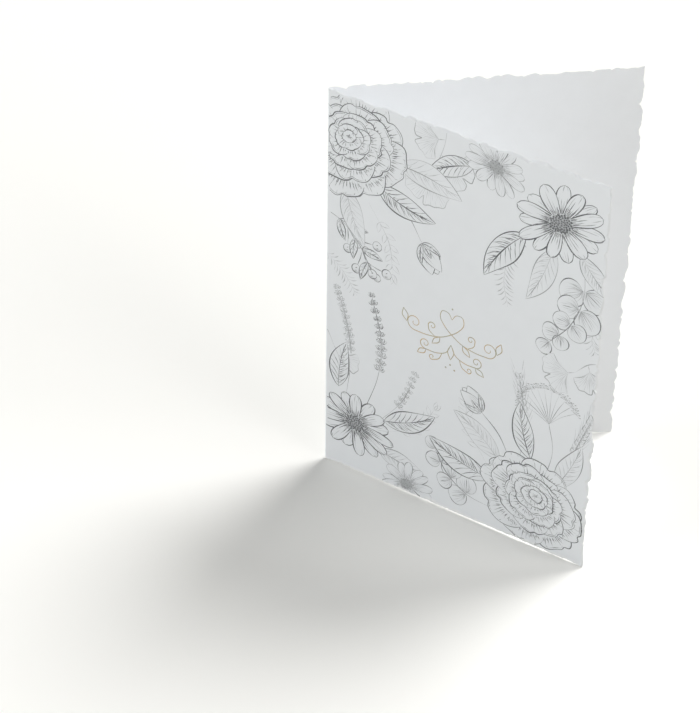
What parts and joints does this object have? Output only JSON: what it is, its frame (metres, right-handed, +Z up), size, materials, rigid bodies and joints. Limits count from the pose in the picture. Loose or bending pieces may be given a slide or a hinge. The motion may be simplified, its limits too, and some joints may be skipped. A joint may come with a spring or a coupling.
{
  "type": "greeting card",
  "caption": "Greeting card: one sheet of thick white paper folded once and standing half open, with torn edges and a line-drawn botanical print round a gold ornament.",
  "frame": {"origin": "on the surface that the card stands on, half way between the fold and the free edges and between the two leaves", "axes": "+Z up along the fold; -X towards the fold, so the card opens towards +X; -Y towards the side that the printed front leaf faces"},
  "size_m": [0.0979, 0.0787, 0.1494],
  "materials": {
    "card_stock": "uncoated cool white cotton paper, matt, with a torn fibrous edge",
    "print_ink": "flat pencil-grey ink printed on the paper",
    "gold_foil": "thin stamped gold foil, satin"
  },
  "bodies": {
    "root": {"card": "card_stock"}
  },
  "joints": []
}
